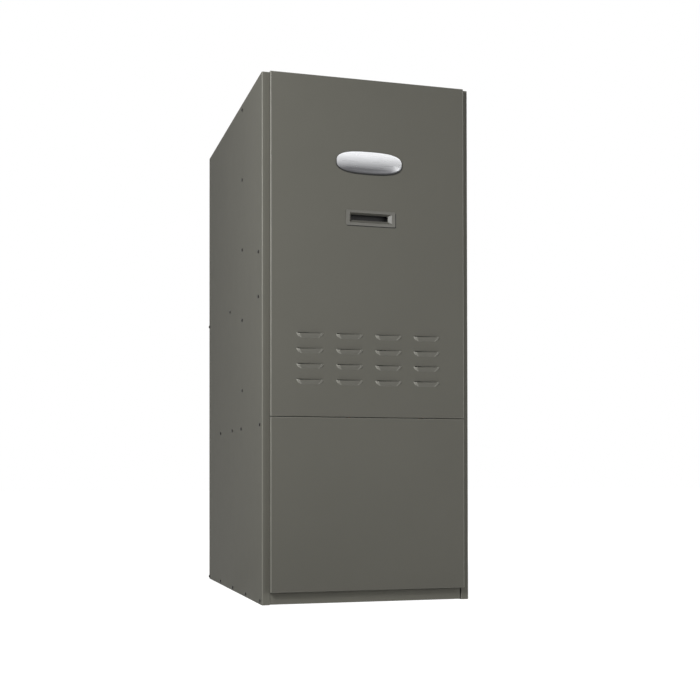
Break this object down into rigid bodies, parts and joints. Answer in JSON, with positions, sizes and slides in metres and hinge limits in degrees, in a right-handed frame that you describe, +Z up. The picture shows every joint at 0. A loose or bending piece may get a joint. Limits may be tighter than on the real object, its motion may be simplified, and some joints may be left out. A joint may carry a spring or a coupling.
{
  "type": "oil furnace",
  "caption": "Upflow oil furnace: sheet-steel cabinet with pull-off louvred doors, burner and drum heat exchanger over a direct-drive blower, rear flue collar.",
  "frame": {"origin": "on the floor under the middle of the casing", "axes": "+X right seen from the doors, +Y to the rear, +Z up; the doors face -Y"},
  "size_m": [0.571, 0.921, 1.372],
  "materials": {
    "casing_paint": "satin olive-grey baked enamel",
    "door_paint": "satin olive-grey baked enamel",
    "galvanised": "galvanised sheet",
    "zinc": "zinc plated",
    "dark_screws": "dark phosphate",
    "foil_board": "foil-faced fibre board",
    "drum_steel": "heat-darkened steel plate",
    "ceramic_fibre": "pressed ceramic fibre",
    "brass": "turned brass",
    "copper": "drawn copper",
    "porcelain": "glazed porcelain",
    "cast_aluminium": "as cast",
    "black_enamel": "black enamel",
    "black_plastic": "matte black",
    "grey_plastic": "matte grey",
    "white_plastic": "matte white",
    "red_plastic": "gloss red",
    "board_green": "solder-masked board",
    "filter_media": "pleated filter paper",
    "pull_plastic": "moulded, coloured as the door",
    "badge_metal": "domed, satin silver, plain"
  },
  "bodies": {
    "cabinet": {"left_side": "casing_paint", "right_side": "casing_paint", "base_pan": "galvanised", "bottom_rail": "casing_paint", "blower_deck": "galvanised", "vestibule_panel": "galvanised", "top_panel": "casing_paint", "rear_lower_panel": "casing_paint", "rear_upper_panel": "casing_paint", "casing_screws": "dark_screws", "door_catches": "zinc", "side_liners": "foil_board", "rear_liner": "foil_board", "heat_exchanger": "drum_steel", "combustion_chamber": "ceramic_fibre", "radiator": "drum_steel", "crossovers": "drum_steel", "flue_collar": "galvanised", "cleanout_covers": "drum_steel", "cleanout_nuts": "brass", "exchanger_brackets": "galvanised", "radiation_shield": "galvanised", "limit_control": "black_plastic", "port_frame": "galvanised", "burner_housing": "cast_aluminium", "burner_flange": "zinc", "burner_gasket": "ceramic_fibre", "air_tube": "zinc", "retention_head": "drum_steel", "nozzle_line": "brass", "electrodes": "porcelain", "burner_motor": "black_enamel", "fuel_pump": "cast_aluminium", "oil_line": "copper", "flame_sensor": "black_plastic", "burner_bolts": "zinc", "primary_control": "grey_plastic", "control_box": "galvanised", "circuit_board": "board_green", "transformer": "black_enamel", "door_switch": "white_plastic", "blower_housing": "galvanised", "blower_motor": "black_enamel", "motor_mount": "zinc", "blower_rails": "galvanised", "capacitor": "zinc", "filter_rack": "galvanised"},
    "upper_door": {"upper_door": "door_paint", "door_pull": "pull_plastic", "badge": "badge_metal"},
    "lower_door": {"lower_door": "door_paint"},
    "burner_fan": {"burner_fan": "zinc"},
    "blower_wheel": {"blower_wheel": "galvanised", "wheel_blades": "galvanised"},
    "igniter": {"igniter": "black_enamel"},
    "reset_button": {"reset_button": "red_plastic"},
    "air_shutter": {"air_shutter": "zinc"},
    "observation_cover": {"observation_cover": "zinc"},
    "switch_plunger": {"switch_plunger": "red_plastic"},
    "air_filter": {"air_filter": "filter_media"}
  },
  "joints": [
    {"name": "upper_door_pull", "type": "slide", "parent": "cabinet", "child": "upper_door", "axis": [0, -1, 0], "range_m": [0, 0.3]},
    {"name": "lower_door_pull", "type": "slide", "parent": "cabinet", "child": "lower_door", "axis": [0, -1, 0], "range_m": [0, 0.3]},
    {"name": "blower_spin", "type": "hinge", "parent": "cabinet", "child": "blower_wheel", "pos_m": [0, 0.095, 0.25], "axis": [1, 0, 0], "continuous": true},
    {"name": "burner_spin", "type": "hinge", "parent": "cabinet", "child": "burner_fan", "pos_m": [0, -0.285, 0.625], "axis": [1, 0, 0], "continuous": true},
    {"name": "air_shutter_turn", "type": "hinge", "parent": "cabinet", "child": "air_shutter", "pos_m": [-0.049, -0.285, 0.625], "axis": [1, 0, 0], "range_deg": [-14, 16]},
    {"name": "igniter_swing", "type": "hinge", "parent": "cabinet", "child": "igniter", "pos_m": [0.053, -0.273, 0.7363], "axis": [0, 1, 0], "range_deg": [0, 100]},
    {"name": "reset_button_press", "type": "slide", "parent": "cabinet", "child": "reset_button", "axis": [0, 1, 0], "range_m": [0, 0.003], "stiffness_N_per_m": 400},
    {"name": "observation_cover_swing", "type": "hinge", "parent": "cabinet", "child": "observation_cover", "pos_m": [0, -0.1693, 0.864], "axis": [0, 1, 0], "range_deg": [-90, 90]},
    {"name": "switch_plunger_press", "type": "slide", "parent": "cabinet", "child": "switch_plunger", "axis": [0, -1, 0], "range_m": [0, 0.006]},
    {"name": "air_filter_slide", "type": "slide", "parent": "cabinet", "child": "air_filter", "axis": [0, -1, 0], "range_m": [0, 0.14]}
  ],
  "couplings": [
    {"joint": "switch_plunger_press", "follows": "lower_door_pull", "ratio": 0.02}
  ]
}
